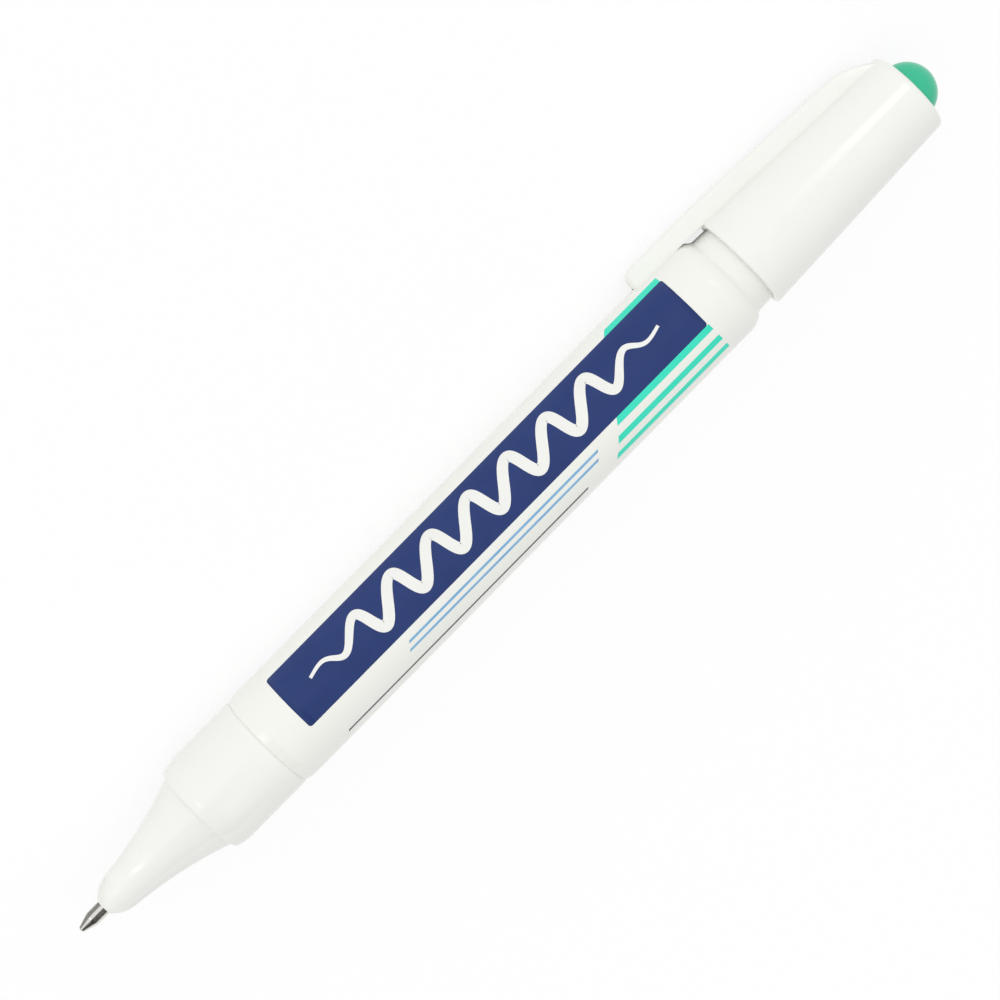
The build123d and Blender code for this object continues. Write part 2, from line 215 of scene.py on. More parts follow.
def node(tree, kind, settings=None, **sockets):
    """A shader node with its settings, and its inputs set to values or linked to outputs."""
    made = tree.nodes.new(kind)
    for name, value in (settings or {}).items():
        setattr(made, name, value)
    for name, value in sockets.items():
        socket = made.inputs[int(name[1:])] if name[1:].isdigit() else made.inputs[name.replace("_", " ")]
        if isinstance(value, bpy.types.NodeSocket):
            tree.links.new(value, socket)
        else:
            socket.default_value = value
    return made


def maths(tree, operation, *values):
    """The result of a maths node on values or outputs."""
    sockets = {f"_{k}": value for k, value in enumerate(values)}
    return node(tree, "ShaderNodeMath", {"operation": operation}, **sockets).outputs[0]


def ranged(tree, value, start, end, low=0, high=1):
    """A value carried from the range start to end over to the range low to high."""
    sockets = {"Value": value, "From_Min": start, "From_Max": end, "To_Min": low, "To_Max": high}
    return node(tree, "ShaderNodeMapRange", **sockets).outputs[0]


def mixed(tree, share, first, second):
    """A colour that lies by a share between two colours."""
    return node(tree, "ShaderNodeMix", {"data_type": "RGBA"}, _0=share, _6=first, _7=second).outputs[2]


def effect(name, inputs, outputs):
    """An empty shader node group; inputs are (name, kind, value), outputs are (name, kind)."""
    tree = bpy.data.node_groups.new(name, "ShaderNodeTree")
    for label, kind, value in inputs:
        socket = tree.interface.new_socket(name=label, in_out="INPUT", socket_type=kind)
        socket.default_value = value
    for label, kind in outputs:
        tree.interface.new_socket(name=label, in_out="OUTPUT", socket_type=kind)
    return tree, tree.nodes.new("NodeGroupInput"), tree.nodes.new("NodeGroupOutput")


# What moulding and handling leave on plastic: a faint mottle, lengthwise hairlines and dull smudges
hairline_stretch = (60, 2600, 2600)
dulled_roughness = 0.16
finish_outputs = [
    ("Colour", "NodeSocketColor"),
    ("Roughness", "NodeSocketFloat"),
    ("Height", "NodeSocketFloat"),
]
moulded, given, shown = effect(
    "moulded_finish",
    [
        ("Colour", "NodeSocketColor", (0.8, 0.8, 0.8, 1)),
        ("Shade", "NodeSocketColor", (0.7, 0.7, 0.7, 1)),
        ("Gloss", "NodeSocketFloat", 0.25),
        ("Handling", "NodeSocketFloat", 0.5),
    ],
    finish_outputs,
)
place = node(moulded, "ShaderNodeTexCoord").outputs["Object"]
mottle = node(moulded, "ShaderNodeTexNoise", Vector=place, Scale=190, Detail=4, Roughness=0.55)
cloud = node(moulded, "ShaderNodeTexNoise", Vector=place, Scale=75, Detail=5, Roughness=0.6, Distortion=0.4)
peel = node(moulded, "ShaderNodeTexNoise", Vector=place, Scale=1500, Detail=2)
drawn_out = node(moulded, "ShaderNodeVectorMath", {"operation": "MULTIPLY"}, _0=place, _1=hairline_stretch)
hairline = node(moulded, "ShaderNodeTexNoise", Vector=drawn_out.outputs[0], Scale=1, Detail=2)
scratch = ranged(moulded, hairline.outputs["Fac"], 0.66, 0.78)
smudge = ranged(moulded, cloud.outputs["Fac"], 0.4, 0.85)
tinted = mixed(moulded, mottle.outputs["Fac"], given.outputs["Colour"], given.outputs["Shade"])
marks = maths(moulded, "MAXIMUM", smudge, scratch)
dulled = maths(moulded, "MULTIPLY", marks, given.outputs["Handling"])
rough = maths(moulded, "MULTIPLY_ADD", dulled, dulled_roughness, given.outputs["Gloss"])
worn = maths(moulded, "MULTIPLY", scratch, given.outputs["Handling"])
height = maths(moulded, "SUBTRACT", peel.outputs["Fac"], worn)
moulded.links.new(tinted, shown.inputs["Colour"])
moulded.links.new(rough, shown.inputs["Roughness"])
moulded.links.new(height, shown.inputs["Height"])


def surfaced(name, group, values, bump_strength, bump_depth, shader):
    """A material whose Principled shader takes colour, roughness and bump from an effect group."""
    material = bpy.data.materials.new(name)
    material.use_nodes = True
    tree = material.node_tree
    skin = tree.nodes["Principled BSDF"]
    finish = node(tree, "ShaderNodeGroup", {"node_tree": group})
    for label, value in values.items():
        finish.inputs[label].default_value = value
    for label, value in shader.items():
        skin.inputs[label].default_value = value
    bumps = {"Height": finish.outputs["Height"], "Strength": bump_strength, "Distance": bump_depth}
    relief = node(tree, "ShaderNodeBump", **bumps)
    tree.links.new(finish.outputs["Colour"], skin.inputs["Base Color"])
    tree.links.new(finish.outputs["Roughness"], skin.inputs["Roughness"])
    tree.links.new(relief.outputs["Normal"], skin.inputs["Normal"])
    return material


white_plastic = {"IOR": 1.49, "Specular IOR Level": 0.4}
barrel_plastic = surfaced(
    "barrel_plastic",
    moulded,
    {
        "Colour": (0.905, 0.915, 0.865, 1),
        "Shade": (0.88, 0.888, 0.835, 1),
        "Gloss": 0.13,
        "Handling": 0.28,
    },
    bump_strength=0.12,
    bump_depth=0.02 * MM,
    shader=white_plastic,
)
barrel_tube.data.materials.append(barrel_plastic)
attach(barrel_tube, "pen_body")
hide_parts("barrel")

# Print on the barrel
# A navy panel, stripes and thin rules, screen-printed on the tube in ink films a few hundredths thick.
# The panel carries a plain white wave, such as a pen draws; the stripes start on one slanted line.

clip_joint = next(joint for joint in frame["joints"] if joint["name"] == "clip_flex")
clip_side = Vector(clip_joint["axis"])
clip_way = clip_side.cross(Vector((1, 0, 0)))
clip_below_level = atan2(-clip_way.z, -clip_way.y)
clip_turned_to_view = radians(1)
print_tilt = pi / 2 - clip_below_level - clip_turned_to_view
print_facing = Vector((0, -cos(print_tilt), sin(print_tilt)))
print_upward = Vector((0, -sin(print_tilt), -cos(print_tilt)))

tip_front_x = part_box("tip_ball")[1].x
film_lift = 0.02 * MM
film_depth = 0.03 * MM


def film(name, places, material, lift=film_lift):
    """An ink film on the tube through rows of (along, around) places, measured from the pen's tip."""
    form = bmesh.new()
    grid = []
    for row in places:
        line = []
        for along, around in row:
            angle = around / barrel_radius
            out = (print_facing * cos(angle) + print_upward * sin(angle)) * (barrel_radius + lift)
            line.append(form.verts.new((tip_front_x - along, out.y, out.z)))
        grid.append(line)
    for lower, upper in zip(grid, grid[1:]):
        for k in range(len(lower) - 1):
            form.faces.new((lower[k], lower[k + 1], upper[k + 1], upper[k]))
    printed = finished(name, form)
    body = printed.modifiers.new("film", "SOLIDIFY")
    body.thickness = film_depth
    body.offset = -1
    printed.data.materials.append(material)
    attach(printed, "pen_body")


def band(name, low, high, left, right, material, rows=8, columns=60, rim=0.004):
    """A printed band between two heights around the tube; left and right give its ends at a height."""
    places = []
    for share in (0, rim, *(j / rows for j in range(1, rows)), 1 - rim, 1):
        around = low + (high - low) * share
        start = left(around)
        step = (right(around) - start) / columns
        places.append([(start + step * k, around) for k in range(columns + 1)])
    film(name, places, material)


# How screen-printed ink lies on plastic: slightly uneven in depth, with a fine grain
inked, given, shown = effect(
    "printed_ink",
    [("Colour", "NodeSocketColor", (0.1, 0.1, 0.1, 1)), ("Thin", "NodeSocketColor", (0.2, 0.2, 0.2, 1))],
    finish_outputs,
)
place = node(inked, "ShaderNodeTexCoord").outputs["Object"]
grain = node(inked, "ShaderNodeTexNoise", Vector=place, Scale=5200, Detail=2)
flow = node(inked, "ShaderNodeTexNoise", Vector=place, Scale=260, Detail=4, Roughness=0.6)
cover = ranged(inked, flow.outputs["Fac"], 0.35, 0.75)
depth = mixed(inked, cover, given.outputs["Colour"], given.outputs["Thin"])
sheen = ranged(inked, grain.outputs["Fac"], 0.3, 0.7, low=0.3, high=0.42)
inked.links.new(depth, shown.inputs["Colour"])
inked.links.new(sheen, shown.inputs["Roughness"])
inked.links.new(grain.outputs["Fac"], shown.inputs["Height"])

ink_shader = {"IOR": 1.5, "Specular IOR Level": 0.25}


def ink(name, colour, thin):
    """A screen-printing ink of one colour."""
    values = {"Colour": (*colour, 1), "Thin": (*thin, 1)}
    return surfaced(name, inked, values, bump_strength=0.1, bump_depth=0.01 * MM, shader=ink_shader)


navy_ink = ink("navy_ink", (0.015, 0.037, 0.16), (0.02, 0.044, 0.18))
teal_ink = ink("teal_ink", (0.04, 0.76, 0.54), (0.06, 0.79, 0.58))
sky_ink = ink("sky_ink", (0.2, 0.44, 0.7), (0.26, 0.5, 0.74))
grey_ink = ink("grey_ink", (0.1, 0.11, 0.12), (0.14, 0.15, 0.16))
white_ink = ink("white_ink", (0.88, 0.885, 0.85), (0.86, 0.865, 0.83))

panel_low = radians(-21.5) * barrel_radius
panel_high = radians(49.0) * barrel_radius
panel_start = 38.25 * MM
panel_end = 106.85 * MM
panel_corner = 0.4 * MM


def corner_inset(around):
    """How far the panel's ends draw in at a height, where its corners are rounded."""
    short = max(panel_low + panel_corner - around, around - panel_high + panel_corner, 0)
    return panel_corner - sqrt(max(panel_corner**2 - short**2, 0))


def panel_left(around):
    return panel_start + corner_inset(around)


def panel_right(around):
    return panel_end - corner_inset(around)


band("print_panel", panel_low, panel_high, panel_left, panel_right, navy_ink, rows=120)

stripe_width = 0.92 * MM
stripe_pitch = 2.09 * MM
stripe_count = 3
top_stripe_width = 1.15 * MM
stripe_start = 91.08 * MM
stripe_overrun = 0.1 * MM
stripe_end = panel_end + stripe_overrun
stripe_slant = tan(radians(34.3))
stripe_end_slant = tan(radians(2))


def stripe_left(around):
    """Where the slanted line on which all the stripes start crosses a height."""
    return stripe_start + (around - panel_low) * stripe_slant


def stripe_right(around):
    return stripe_end - (around - panel_low) * stripe_end_slant


for k in range(stripe_count):
    top = panel_low - stripe_pitch * k
    band(f"print_stripe_{k + 1}", top - stripe_width, top, stripe_left, stripe_right, teal_ink)
band("print_stripe_top", panel_high, panel_high + top_stripe_width, stripe_left, stripe_right, teal_ink)


def eased(share):
    """A smooth step from 0 to 1."""
    kept = min(max(share, 0), 1)
    return kept * kept * (3 - 2 * kept)


# The wave swells from both ends and leans like slanted writing
wave_start = 42.5 * MM
wave_end = 102.5 * MM
wave_turns = 9
wave_swing = 2.15 * MM
wave_end_swing_share = 0.15
wave_stroke = 1.45 * MM
wave_end_stroke_share = 0.3
wave_fade = 12.0 * MM
wave_slant = tan(radians(16))
wave_over_panel = 0.01 * MM
wave_lift = film_lift + wave_over_panel
wave_rim = 0.95
wave_rows = (-1, -wave_rim, 0, wave_rim, 1)
wave_steps = 480
wave_look_ahead = 0.01 * MM


def wave_swell(run):
    return eased(min(run - wave_start, wave_end - run) / wave_fade)


def wave_place(run):
    """The middle of the wave's stroke after a run along the panel."""
    turn = 2 * pi * wave_turns * (run - wave_start) / (wave_end - wave_start)
    swell = wave_end_swing_share + (1 - wave_end_swing_share) * wave_swell(run)
    rise = wave_swing * swell * sin(turn)
    return Vector((run + rise * wave_slant, (panel_low + panel_high) / 2 + rise))


wave_lines = [[] for row in wave_rows]
for k in range(wave_steps + 1):
    run = wave_start + (wave_end - wave_start) * k / wave_steps
    ahead = (wave_place(run + wave_look_ahead) - wave_place(run - wave_look_ahead)).normalized()
    swell = wave_end_stroke_share + (1 - wave_end_stroke_share) * wave_swell(run)
    across = Vector((-ahead.y, ahead.x)) * wave_stroke * swell / 2
    for line, row in zip(wave_lines, wave_rows):
        line.append(tuple(wave_place(run) + across * row))
film("print_wave", wave_lines, white_ink, wave_lift)

# Thin rules under the panel
rule_width = 0.34 * MM
for name, angle, start, end, material in (
    ("print_rule_upper", radians(-33.0), 54.0 * MM, 86.6 * MM, sky_ink),
    ("print_rule_lower", radians(-41.5), 53.3 * MM, 85.9 * MM, sky_ink),
    ("print_rule_base", radians(-62.0), 41.0 * MM, 82.6 * MM, grey_ink),
):
    middle = angle * barrel_radius

    def rule_left(around):
        return start + (around - middle) * stripe_slant

    def rule_right(around):
        return end + (around - middle) * stripe_slant

    band(name, middle - rule_width / 2, middle + rule_width / 2, rule_left, rule_right, material)

# Nose section
# White polypropylene like the barrel: a collar, a hollow cone that waists down to the point, and behind
# them a plug that is pressed into the barrel until its bead snaps in.

nose_low, nose_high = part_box("nose_section")
nose_front_x = nose_high.x
plug_end_x = nose_low.x
collar_radius = nose_high.y
tip_radius = 1.0 * MM
press_gap = 0.02 * MM
collar_length = 11.65 * MM
collar_chamfer = 0.2 * MM
collar_crown_length = 2.4 * MM
collar_crown_drop = 0.45 * MM
step_fillet = 0.3 * MM
step_edge = 0.17 * MM
waist_radius = 2.85 * MM
waist_from_front = 4.35 * MM
waist_slope = tan(radians(6.8))
front_round_length = 2.85 * MM
front_lip = 0.25 * MM
plug_wall = 1.1 * MM
plug_lead = 0.4 * MM
funnel_length = 4.6 * MM
tip_seat_length = 5.65 * MM
chamber_radius = 1.7 * MM
stop_low, stop_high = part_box("spring_stop")

step_x = seam_x + collar_chamfer + collar_length
waist_x = nose_front_x - waist_from_front
front_round_x = nose_front_x - front_round_length
front_round_radius = waist_radius - (front_round_x - waist_x) * waist_slope
front_radius = tip_radius + front_lip
plug_radius = bore_radius - press_gap
plug_bore_radius = plug_radius - plug_wall
tip_bore_radius = tip_radius + press_gap
chamber_front_x = nose_front_x - tip_seat_length
stop_bore_radius = stop_high.y + press_gap

crown_fall = 2 * atan2(collar_crown_drop, collar_crown_length)
crown_start = (step_x - collar_crown_length, collar_radius)
crown_end = (
    step_x - step_edge * cos(crown_fall),
    collar_radius - collar_crown_drop + step_edge * sin(crown_fall),
)
step_top = (step_x, collar_radius - collar_crown_drop - step_edge)
front_round = arc(
    (front_round_x, front_round_radius), (nose_front_x, front_radius), (1, -waist_slope), steps=20
)
cone_back = arc((waist_x, waist_radius), (step_x, post_radius), (-1, waist_slope), steps=36)[:-1]
cone_way = (cone_back[-1][0] - cone_back[-2][0], cone_back[-1][1] - cone_back[-2][1])

nose_outline = [
    (nose_front_x, tip_bore_radius),
    (nose_front_x, front_radius),
    *reversed(front_round[:-1]),
    (front_round_x, front_round_radius),
    (waist_x, waist_radius),
    *cone_back,
    *arc(cone_back[-1], (step_x, post_radius + step_fillet), cone_way, steps=6),
    step_top,
    *arc(step_top, crown_end, (0, 1), steps=6),
    *reversed(arc(crown_start, crown_end, (1, 0), steps=12)[:-1]),
    crown_start,
    (seam_x + collar_chamfer, collar_radius),
    (seam_x, collar_radius - collar_chamfer),
    (seam_x, plug_radius),
    (seam_x - bead_from_seam + bead_width, plug_radius),
    (seam_x - bead_from_seam, plug_radius + bead_height),
    (seam_x - bead_from_seam - bead_width, plug_radius),
    (plug_end_x + plug_lead, plug_radius),
    (plug_end_x, plug_radius - plug_lead),
    (plug_end_x, plug_bore_radius),
    (stop_low.x - funnel_length, plug_bore_radius),
    (stop_low.x, stop_bore_radius),
    (stop_high.x, stop_bore_radius),
    (stop_high.x, chamber_radius),
    (chamber_front_x, chamber_radius),
    (chamber_front_x, tip_bore_radius),
]
nose_cone = turned("nose_cone", nose_outline)
nose_plastic = surfaced(
    "nose_plastic",
    moulded,
    {
        "Colour": (0.905, 0.912, 0.872, 1),
        "Shade": (0.88, 0.886, 0.842, 1),
        "Gloss": 0.08,
        "Handling": 0.32,
    },
    bump_strength=0.12,
    bump_depth=0.02 * MM,
    shader=white_plastic,
)
nose_cone.data.materials.append(nose_plastic)
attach(nose_cone, "pen_body")
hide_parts("nose_section")

# Valve inside the nose
# A natural polyethylene stop with flow holes, a coil of drawn spring wire and a bright steel push rod,
# dropped into the nose from behind; the stop is pressed into its seat and holds the other two.

seal_plastic = surfaced(
    "seal_plastic",
    moulded,
    {"Colour": (0.8, 0.81, 0.79, 1), "Shade": (0.74, 0.75, 0.73, 1), "Gloss": 0.42, "Handling": 0.3},
    bump_strength=0.2,
    bump_depth=0.02 * MM,
    shader={"IOR": 1.51},
)

# Marks that drawing and turning leave on metal: fine rings along the axis and an uneven polish
rings_roughness = 0.16
metal_marks, given, shown = effect(
    "metal_marks",
    [
        ("Colour", "NodeSocketColor", (0.5, 0.5, 0.5, 1)),
        ("Tarnish", "NodeSocketColor", (0.3, 0.3, 0.3, 1)),
        ("Polish", "NodeSocketFloat", 0.2),
        ("Rings", "NodeSocketVector", (1, 1, 1)),
    ],
    finish_outputs,
)
place = node(metal_marks, "ShaderNodeTexCoord").outputs["Object"]
drawn = node(
    metal_marks, "ShaderNodeVectorMath", {"operation": "MULTIPLY"}, _0=place, _1=given.outputs["Rings"]
)
rings = node(metal_marks, "ShaderNodeTexNoise", Vector=drawn.outputs[0], Scale=1, Detail=3, Roughness=0.7)
stain = node(metal_marks, "ShaderNodeTexNoise", Vector=place, Scale=900, Detail=4, Roughness=0.65)
stained = ranged(metal_marks, stain.outputs["Fac"], 0.45, 0.8, high=0.6)
metal_tone = mixed(metal_marks, stained, given.outputs["Colour"], given.outputs["Tarnish"])
uneven = maths(
    metal_marks, "MULTIPLY_ADD", rings.outputs["Fac"], rings_roughness, given.outputs["Polish"]
)
metal_marks.links.new(metal_tone, shown.inputs["Colour"])
metal_marks.links.new(uneven, shown.inputs["Roughness"])
metal_marks.links.new(rings.outputs["Fac"], shown.inputs["Height"])


def metal(name, colour, tarnish, polish, rings, bump_strength, bump_depth):
    """A bare metal with its working marks; rings gives their scale along and across the axis."""
    values = {"Colour": (*colour, 1), "Tarnish": (*tarnish, 1), "Polish": polish, "Rings": rings}
    return surfaced(name, metal_marks, values, bump_strength, bump_depth, shader={"Metallic": 1.0})


rod_metal = metal(
    "rod_metal",
    colour=(0.6, 0.59, 0.57),
    tarnish=(0.42, 0.4, 0.37),
    polish=0.14,
    rings=(300, 9000, 9000),
    bump_strength=0.3,
    bump_depth=0.005 * MM,
)
for name, slot, material in (
    ("spring_stop", "seal_plastic", seal_plastic),
    ("push_rod", "rod_metal", rod_metal),
):
    frame["nodes"][name].data.materials[0] = material


def lofted(name, outlines, sharp_angle=40):
    """A closed piece through outlines of points, with both of its ends filled."""
    form = bmesh.new()
    loops = [[form.verts.new(point) for point in outline] for outline in outlines]
    for near, far in zip(loops, loops[1:]):
        for k in range(len(near)):
            form.faces.new((near[k - 1], near[k], far[k], far[k - 1]))
    form.faces.new(loops[0])
    form.faces.new(loops[-1])
    return finished(name, form, sharp_angle)


# The spring stands on the stop, coiled at one fixed length
wire_radius = 0.13 * MM
wire_sides = 16
coil_radius = 0.95 * MM
coil_turns = 6.5
coil_steps = 260

spring_low, spring_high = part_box("valve_spring")
coil_front_x = spring_high.x - wire_radius
coil_run = coil_front_x - spring_low.x - wire_radius
coil_pitch = coil_run / (2 * pi * coil_turns)

wire_turns = [2 * pi * side / wire_sides for side in range(wire_sides)]
wire_outlines = []
for k in range(coil_steps + 1):
    angle = 2 * pi * coil_turns * k / coil_steps
    outward = Vector((0, cos(angle), sin(angle)))
    ahead = Vector((-coil_pitch, -coil_radius * sin(angle), coil_radius * cos(angle))).normalized()
    beside = ahead.cross(outward)
    middle = Vector((coil_front_x - coil_pitch * angle, 0, 0)) + outward * coil_radius
    wire_outlines.append([middle + (outward * cos(t) + beside * sin(t)) * wire_radius for t in wire_turns])
spring_coil = lofted("spring_coil", wire_outlines)
spring_metal = metal(
    "spring_metal",
    colour=(0.5, 0.5, 0.5),
    tarnish=(0.34, 0.33, 0.31),
    polish=0.16,
    rings=(2500, 2500, 2500),
    bump_strength=0.3,
    bump_depth=0.004 * MM,
)
spring_coil.data.materials.append(spring_metal)
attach(spring_coil, "pen_body")
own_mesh(spring_coil)
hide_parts("valve_spring")

# Writing tip and ball
# A point turned from nickel silver and pressed into the nose; its lip is rolled over a polished steel
# ball under a millimetre across, which turns in its seat and meters the fluid.

ball_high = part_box("tip_ball")[1]
ball_radius = ball_high.z
ball_x = ball_high.x - ball_radius
ball_gap = 0.02 * MM
ball_room = 0.22 * MM
lip_opening_share = 0.88
lip_wall = 0.06 * MM
tip_cone_length = 1.8 * MM
tip_shoulder_round = 0.25 * MM
channel_radius = 0.34 * MM
flange_radius = 1.45 * MM
flange_length = 0.8 * MM

lip_opening = lip_opening_share * ball_radius
socket_radius = ball_radius + ball_gap
lip_x = ball_x + sqrt(socket_radius**2 - lip_opening**2)
lip_outer = lip_opening + lip_wall
cone_back_x = lip_x - tip_cone_length
cone_slope = (tip_radius - lip_outer) / tip_cone_length
socket_end_x = ball_x - ball_radius - ball_room
tip_back_x = chamber_front_x - flange_length
lip_roll_start = (lip_x, lip_outer - lip_wall / 3)
lip_roll_end = (lip_x - lip_wall / 2, lip_outer + lip_wall / 4)
tip_shoulder_start = (cone_back_x + tip_shoulder_round, tip_radius - cone_slope * tip_shoulder_round)
tip_shoulder_end = (cone_back_x - tip_shoulder_round, tip_radius)

tip_outline = [
    (lip_x, lip_opening),
    lip_roll_start,
    *arc(lip_roll_start, lip_roll_end, (0, 1), steps=4),
    tip_shoulder_start,
    *arc(tip_shoulder_start, tip_shoulder_end, (-1, cone_slope), steps=6),
    (chamber_front_x, tip_radius),
    (chamber_front_x, flange_radius),
    (tip_back_x, flange_radius),
    (tip_back_x, channel_radius),
    (socket_end_x, channel_radius),
    (socket_end_x, socket_radius),
    (ball_x, socket_radius),
    *arc((ball_x, socket_radius), (lip_x, lip_opening), (1, 0))[:-1],
]
tip_point = turned("tip_point", tip_outline, sides=96)
tip_metal = metal(
    "tip_metal",
    colour=(0.74, 0.73, 0.69),
    tarnish=(0.56, 0.54, 0.48),
    polish=0.13,
    rings=(16000, 700, 700),
    bump_strength=0.25,
    bump_depth=0.004 * MM,
)
tip_point.data.materials.append(tip_metal)
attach(tip_point, "pen_body")
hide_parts("writing_tip")

ball_outline = [(ball_x - ball_radius, 0)]
ball_outline += arc((ball_x - ball_radius, 0), (ball_x, ball_radius), (0, 1), steps=16)
ball_outline += arc((ball_x, ball_radius), (ball_x + ball_radius, 0), (1, 0), steps=16)[:-1]
ball_outline.append((ball_x + ball_radius, 0))
point_ball = turned("point_ball", ball_outline, sides=64)
ball_metal = metal(
    "ball_metal",
    colour=(0.56, 0.56, 0.55),
    tarnish=(0.44, 0.43, 0.41),
    polish=0.06,
    rings=(3000, 3000, 3000),
    bump_strength=0.1,
    bump_depth=0.002 * MM,
)
point_ball.data.materials.append(ball_metal)
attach(point_ball, "push_valve")
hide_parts("tip_ball")

# Mixing ball
# A loose polished steel ball that rolls in the barrel and stirs the fluid when the pen is shaken.

frame["nodes"]["mixing_ball"].data.materials[0] = ball_metal

# Cap shell
# The tapered cap, white polypropylene, moulded in one piece with its clip and a little glossier than
# the barrel. Its mouth is lightly rounded and leads in to the bore, and its end is recessed for a plug.

slip_gap = 0.06 * MM
cap_wall = 0.97 * MM
cap_end_wall = 1.6 * MM
cap_end_round = 0.7 * MM
cap_mouth_edge = 0.25 * MM
cap_mouth_lead = 0.25 * MM
dome_rim = 1.92 * MM
dome_sink = 0.56 * MM
dome_recess = 0.3 * MM
stem_radius = 1.9 * MM

cap_bore_radius = post_radius + slip_gap
cap_mouth_radius = cap_bore_radius + cap_wall
cap_end_radius = cap_mouth_radius - cap_narrowing
cap_inner_end_x = cap_end_x + cap_end_wall
cap_inner_end_radius = cap_bore_radius - cap_taper * (mouth_x - cap_inner_end_x)
dome_radius = cap_end_radius - dome_rim
dome_base_radius = sqrt(dome_radius**2 - dome_sink**2)
recess_radius = dome_base_radius + press_gap
stem_hole_radius = stem_radius + press_gap


def cap_radius(x):
    """The cap's outer radius at a place along the pen."""
    return cap_mouth_radius - cap_taper * (mouth_x - x)


cap_outline = [
    (mouth_x, cap_bore_radius + cap_mouth_lead),
    (mouth_x, cap_mouth_radius - cap_mouth_edge),
    *arc(
        (mouth_x, cap_mouth_radius - cap_mouth_edge),
        (mouth_x - cap_mouth_edge, cap_radius(mouth_x - cap_mouth_edge)),
        (0, 1),
        steps=6,
    ),
    *arc(
        (cap_end_x + cap_end_round, cap_radius(cap_end_x + cap_end_round)),
        (cap_end_x, cap_end_radius - cap_end_round),
        (-1, -cap_taper),
        steps=12,
    ),
    (cap_end_x, recess_radius),
    (cap_end_x + dome_recess, recess_radius),
    (cap_end_x + dome_recess, stem_hole_radius),
    (cap_inner_end_x, stem_hole_radius),
    (cap_inner_end_x, cap_inner_end_radius),
    (mouth_x - cap_mouth_lead, cap_bore_radius - cap_taper * cap_mouth_lead),
]
cap_tube = turned("cap_tube", cap_outline)
cap_plastic = surfaced(
    "cap_plastic",
    moulded,
    {
        "Colour": (0.91, 0.918, 0.875, 1),
        "Shade": (0.886, 0.893, 0.847, 1),
        "Gloss": 0.12,
        "Handling": 0.28,
    },
    bump_strength=0.1,
    bump_depth=0.02 * MM,
    shader=white_plastic,
)
cap_tube.data.materials.append(cap_plastic)
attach(cap_tube, "cap")
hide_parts("cap_shell")

# Pocket clip
# A springy tongue of the cap's own plastic, hollowed underneath to lie close along the cap and the barrel.
# It grows out of the cap near its end with a small fillet and curves down to it there; its free end is
# rounded.

clip_gap = 0.15 * MM
clip_thickness = 2.0 * MM
clip_reach = 11.5 * MM
clip_end_round = 1.4 * MM
clip_plan_round = 1.1 * MM
clip_bend_before_mouth = 1.9 * MM
clip_bend_length = 6.0 * MM
clip_lean = tan(radians(3.0))
clip_closing_length = 2.4 * MM
clip_fall_before_root = 2.6 * MM
clip_root_length = 3.4 * MM
clip_root_from_end = 1.0 * MM
clip_root_lip = -0.03 * MM
clip_end_width = 4.4 * MM
clip_root_width = 4.8 * MM
clip_edge = 0.5 * MM
clip_least_wall = 0.03 * MM
clip_flare = 0.25 * MM
clip_end_flare_share = 0.1
clip_web = 1.6 * MM
clip_crown = 0.08 * MM
clip_sink = 0.35 * MM
clip_foot_sink = 0.01 * MM
clip_hollow_steps = 7
clip_flare_steps = 5
clip_edge_steps = 7
clip_top_steps = 5
clip_end_steps = 14
clip_steps = 130
clip_sharp_angle = 50

clip_outer = max(barrel_radius, cap_mouth_radius) + clip_gap + clip_thickness
clip_free_x = mouth_x + clip_reach
clip_bend_x = mouth_x + clip_bend_before_mouth
clip_lean_x = clip_bend_x - clip_bend_length
clip_root_end_x = cap_end_x + clip_root_from_end
clip_root_x = clip_root_end_x + clip_root_length
clip_fall_x = clip_root_x + clip_fall_before_root


def lean_drop(x):
    """How far the clip's outer face has come down towards the axis at a place behind its bend."""
    bent = min(max(clip_bend_x - x, 0), clip_bend_length)
    straight = max(clip_lean_x - x, 0)
    return clip_lean * (bent**2 / (2 * clip_bend_length) + straight)


def clip_top(x):
    """Height of the clip's outer face: flat, leaning, then falling in a curve to the cap."""
    if x > clip_free_x - clip_end_round:
        over = x - clip_free_x + clip_end_round
        return clip_outer - clip_end_round + sqrt(max(clip_end_round**2 - over**2, 0))
    leaning = clip_outer - lean_drop(x)
    if x > clip_fall_x:
        return leaning
    fallen = (clip_fall_x - x) / (clip_fall_x - clip_root_end_x)
    above = clip_outer - lean_drop(clip_root_end_x)
    return leaning - (above - cap_radius(clip_root_end_x) - clip_root_lip) * fallen**2


def clip_half_width(x):
    """Half of the clip's width: it tapers to the free end, whose corners are rounded in plan."""
    along = (clip_free_x - x) / (clip_free_x - clip_root_end_x)
    half = (clip_end_width + (clip_root_width - clip_end_width) * along) / 2
    left = max(clip_plan_round - (clip_free_x - x), 0)
    return half - clip_plan_round + sqrt(max(clip_plan_round**2 - left**2, 0))


def clip_bed(x):
    """Radius of what the clip lies along: the barrel, and from a little in front of its mouth the cap."""
    closed = min(max(mouth_x + clip_closing_length - x, 0) / clip_closing_length, 1)
    return barrel_radius + (min(cap_radius(x), barrel_radius) - barrel_radius) * closed


